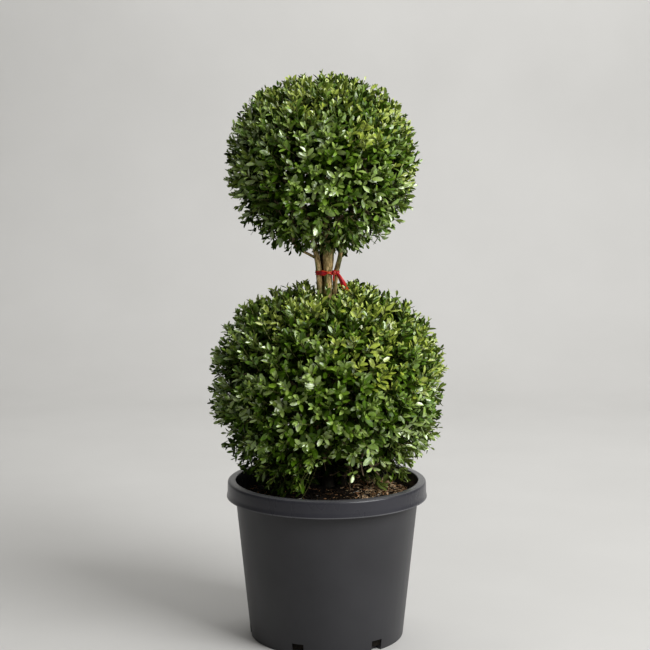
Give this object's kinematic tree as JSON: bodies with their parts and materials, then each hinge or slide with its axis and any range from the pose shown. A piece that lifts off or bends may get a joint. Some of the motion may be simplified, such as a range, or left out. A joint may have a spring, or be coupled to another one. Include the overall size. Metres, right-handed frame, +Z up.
{
  "type": "potted boxwood double ball topiary",
  "caption": "Clipped evergreen shrub with one leafy ball above another on bare tied stems, rooted in bark soil in a round tapered pot.",
  "frame": {"origin": "centre of the pot's underside, on the ground", "axes": "+Z up along the stems; -Y towards the viewer of the picture; +X to the viewer's right"},
  "size_m": [0.4196, 0.4234, 1.0109],
  "materials": {
    "pot": "dark charcoal moulded plastic with a low sheen",
    "soil": "dark composted bark with reddish brown chips and fibres",
    "bark": "tan and olive bark, finely furrowed along the stem",
    "foliage": "glossy small evergreen leaves, deep green to yellow green",
    "tie": "glossy red plastic ribbon"
  },
  "bodies": {
    "root": {"pot": "pot", "soil": "soil", "trunk": "bark", "stem_left": "bark", "stem_right": "bark", "stem_back": "bark", "bough_left": "bark", "lower_ball": "foliage", "upper_ball": "foliage", "tie_band": "tie", "tie_knot": "tie"}
  },
  "joints": []
}
